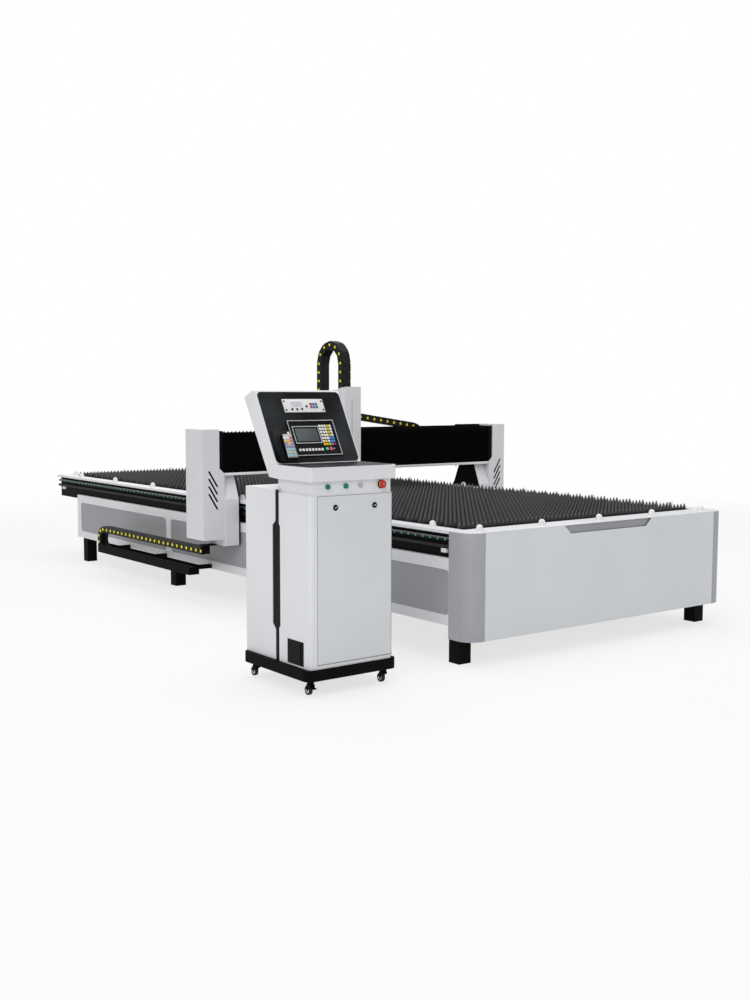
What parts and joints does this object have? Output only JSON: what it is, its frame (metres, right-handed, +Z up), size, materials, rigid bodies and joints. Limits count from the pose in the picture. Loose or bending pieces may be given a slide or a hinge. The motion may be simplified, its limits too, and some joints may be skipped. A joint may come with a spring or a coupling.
{
  "type": "cnc plasma cutting table",
  "caption": "Plasma cutting table with toothed slats, rack-driven bellows gantry with torch lift, drag chains and a control console on casters.",
  "frame": {"origin": "on the floor, midway between the four corner feet of the table", "axes": "+X to the right across the bed, +Y along the bed from the front panel to the rear, +Z up"},
  "size_m": [3.6875, 5.8715, 1.9482],
  "materials": {
    "white_enamel": "textured white powder coat",
    "grey_enamel": "satin grey powder coat",
    "black_enamel": "satin black powder coat",
    "slat_steel": "hot-rolled steel plate, dark mill scale",
    "guide_steel": "ground steel",
    "tray_steel": "folded steel sheet",
    "chain_plastic": "moulded black polyamide",
    "bellows_cloth": "coated folded cloth",
    "console_plastic": "black textured panel",
    "instrument_plate": "light grey instrument plate",
    "fitting_metal": "nickel-plated fittings",
    "green_plastic": "green push button",
    "red_plastic": "red push button",
    "wheel_rubber": "black caster tread",
    "torch_brass": "torch body with copper nozzle"
  },
  "bodies": {
    "table": {"feet": "black_enamel", "table_frame": "white_enamel", "rail_beams": "black_enamel", "grey_panels": "grey_enamel", "corner_posts": "grey_enamel", "front_panel": "white_enamel", "top_covers": "white_enamel", "slats": "slat_steel", "slat_racks": "black_enamel", "slag_trays": "tray_steel", "ball_units": "white_enamel", "y_guides": "guide_steel", "y_chain": "chain_plastic", "y_chain_tray": "black_enamel", "console_plinth": "black_enamel", "console_cabinet": "white_enamel", "console_rear_box": "white_enamel", "console_trims": "console_plastic", "console_neck": "white_enamel", "console_head": "white_enamel", "fascia": "console_plastic", "height_control": "instrument_plate", "controller": "console_plastic", "handset": "grey_enamel", "panel_fittings": "fitting_metal", "electrics": "tray_steel"},
    "gantry": {"gantry_beam": "white_enamel", "gantry_legs": "white_enamel", "leg_plates": "black_enamel", "upright_covers": "white_enamel", "bellows": "bellows_cloth", "x_guides": "guide_steel", "chain_tray": "black_enamel", "x_chain": "chain_plastic", "y_drives": "black_enamel"},
    "left_pinion": {"pinion_left": "guide_steel"},
    "right_pinion": {"pinion_right": "guide_steel"},
    "carriage": {"carriage_plate": "guide_steel", "z_cover": "white_enamel", "z_chain": "chain_plastic", "axis_motors": "black_enamel"},
    "carriage_pinion": {"x_pinion": "guide_steel"},
    "lift_screw": {"z_screw": "guide_steel"},
    "torch_lift": {"torch_slide": "guide_steel", "torch": "torch_brass"},
    "door": {"console_door": "white_enamel"},
    "left_lock": {"lock_left": "fitting_metal"},
    "right_lock": {"lock_right": "fitting_metal"},
    "start_button": {"button_start": "green_plastic"},
    "stop_button": {"button_stop": "green_plastic"},
    "emergency_button": {"estop_button": "red_plastic"},
    "caster_1": {"caster_fork_1": "black_enamel"},
    "wheel_1": {"caster_wheel_1": "wheel_rubber"},
    "caster_2": {"caster_fork_2": "black_enamel"},
    "wheel_2": {"caster_wheel_2": "wheel_rubber"},
    "caster_3": {"caster_fork_3": "black_enamel"},
    "wheel_3": {"caster_wheel_3": "wheel_rubber"},
    "caster_4": {"caster_fork_4": "black_enamel"},
    "wheel_4": {"caster_wheel_4": "wheel_rubber"},
    "brake": {"brake_lever": "black_enamel"}
  },
  "joints": [
    {"name": "gantry_slide", "type": "slide", "parent": "table", "child": "gantry", "axis": [0, 1, 0], "range_m": [-2.22, 2.6], "deforming": ["y_chain"]},
    {"name": "left_pinion_spin", "type": "hinge", "parent": "gantry", "child": "left_pinion", "pos_m": [-1.13, -0.1005, 0.6457], "axis": [1, 0, 0], "range_deg": [-6400, 7500]},
    {"name": "right_pinion_spin", "type": "hinge", "parent": "gantry", "child": "right_pinion", "pos_m": [1.13, -0.1005, 0.6457], "axis": [1, 0, 0], "range_deg": [-6400, 7500]},
    {"name": "carriage_slide", "type": "slide", "parent": "gantry", "child": "carriage", "axis": [1, 0, 0], "range_m": [-0.79, 1.2], "deforming": ["bellows", "x_chain"]},
    {"name": "carriage_pinion_spin", "type": "hinge", "parent": "carriage", "child": "carriage_pinion", "pos_m": [-0.2135, -0.1755, 1.2693], "axis": [0, 1, 0], "range_deg": [-3100, 4700]},
    {"name": "torch_lift_slide", "type": "slide", "parent": "carriage", "child": "torch_lift", "axis": [0, 0, 1], "range_m": [-0.08, 0.06], "deforming": ["z_chain"]},
    {"name": "lift_screw_spin", "type": "hinge", "parent": "carriage", "child": "lift_screw", "pos_m": [-0.1885, -0.277, 1.1], "axis": [0, 0, 1], "range_deg": [-4400, 5800]},
    {"name": "door_hinge", "type": "hinge", "parent": "table", "child": "door", "pos_m": [-1.925, -2.7225, 0.1663], "axis": [1, 0, 0], "range_deg": [0, 85]},
    {"name": "left_lock_turn", "type": "hinge", "parent": "door", "child": "left_lock", "pos_m": [-2.05, -2.7205, 0.967], "axis": [0, 1, 0], "range_deg": [-90, 0]},
    {"name": "right_lock_turn", "type": "hinge", "parent": "door", "child": "right_lock", "pos_m": [-1.8, -2.7205, 0.967], "axis": [0, 1, 0], "range_deg": [-90, 0]},
    {"name": "start_press", "type": "slide", "parent": "table", "child": "start_button", "axis": [0, 1, 0], "range_m": [0, 0.003], "stiffness_N_per_m": 300},
    {"name": "stop_press", "type": "slide", "parent": "table", "child": "stop_button", "axis": [0, 1, 0], "range_m": [0, 0.003], "stiffness_N_per_m": 300},
    {"name": "emergency_press", "type": "slide", "parent": "table", "child": "emergency_button", "axis": [0, 1, 0], "range_m": [0, 0.005]},
    {"name": "caster_1_swivel", "type": "hinge", "parent": "table", "child": "caster_1", "pos_m": [-2.1775, -2.6855, 0.08], "axis": [0, 0, 1], "continuous": true},
    {"name": "wheel_1_roll", "type": "hinge", "parent": "caster_1", "child": "wheel_1", "pos_m": [-2.1775, -2.6675, 0.025], "axis": [1, 0, 0], "continuous": true},
    {"name": "caster_2_swivel", "type": "hinge", "parent": "table", "child": "caster_2", "pos_m": [-1.7075, -2.6855, 0.08], "axis": [0, 0, 1], "continuous": true},
    {"name": "wheel_2_roll", "type": "hinge", "parent": "caster_2", "child": "wheel_2", "pos_m": [-1.7075, -2.6675, 0.025], "axis": [1, 0, 0], "continuous": true},
    {"name": "caster_3_swivel", "type": "hinge", "parent": "table", "child": "caster_3", "pos_m": [-2.1775, -2.1555, 0.08], "axis": [0, 0, 1], "continuous": true},
    {"name": "wheel_3_roll", "type": "hinge", "parent": "caster_3", "child": "wheel_3", "pos_m": [-2.1775, -2.1375, 0.025], "axis": [1, 0, 0], "continuous": true},
    {"name": "caster_4_swivel", "type": "hinge", "parent": "table", "child": "caster_4", "pos_m": [-1.7075, -2.1555, 0.08], "axis": [0, 0, 1], "continuous": true},
    {"name": "wheel_4_roll", "type": "hinge", "parent": "caster_4", "child": "wheel_4", "pos_m": [-1.7075, -2.1375, 0.025], "axis": [1, 0, 0], "continuous": true},
    {"name": "brake_press", "type": "hinge", "parent": "caster_1", "child": "brake", "pos_m": [-2.1775, -2.6965, 0.051], "axis": [1, 0, 0], "range_deg": [0, 12]}
  ],
  "couplings": [
    {"joint": "left_pinion_spin", "follows": "gantry_slide", "rad_per_m": 50},
    {"joint": "right_pinion_spin", "follows": "gantry_slide", "rad_per_m": 50},
    {"joint": "carriage_pinion_spin", "follows": "carriage_slide", "rad_per_m": 66.667},
    {"joint": "lift_screw_spin", "follows": "torch_lift_slide", "rad_per_m": -1256.6}
  ]
}
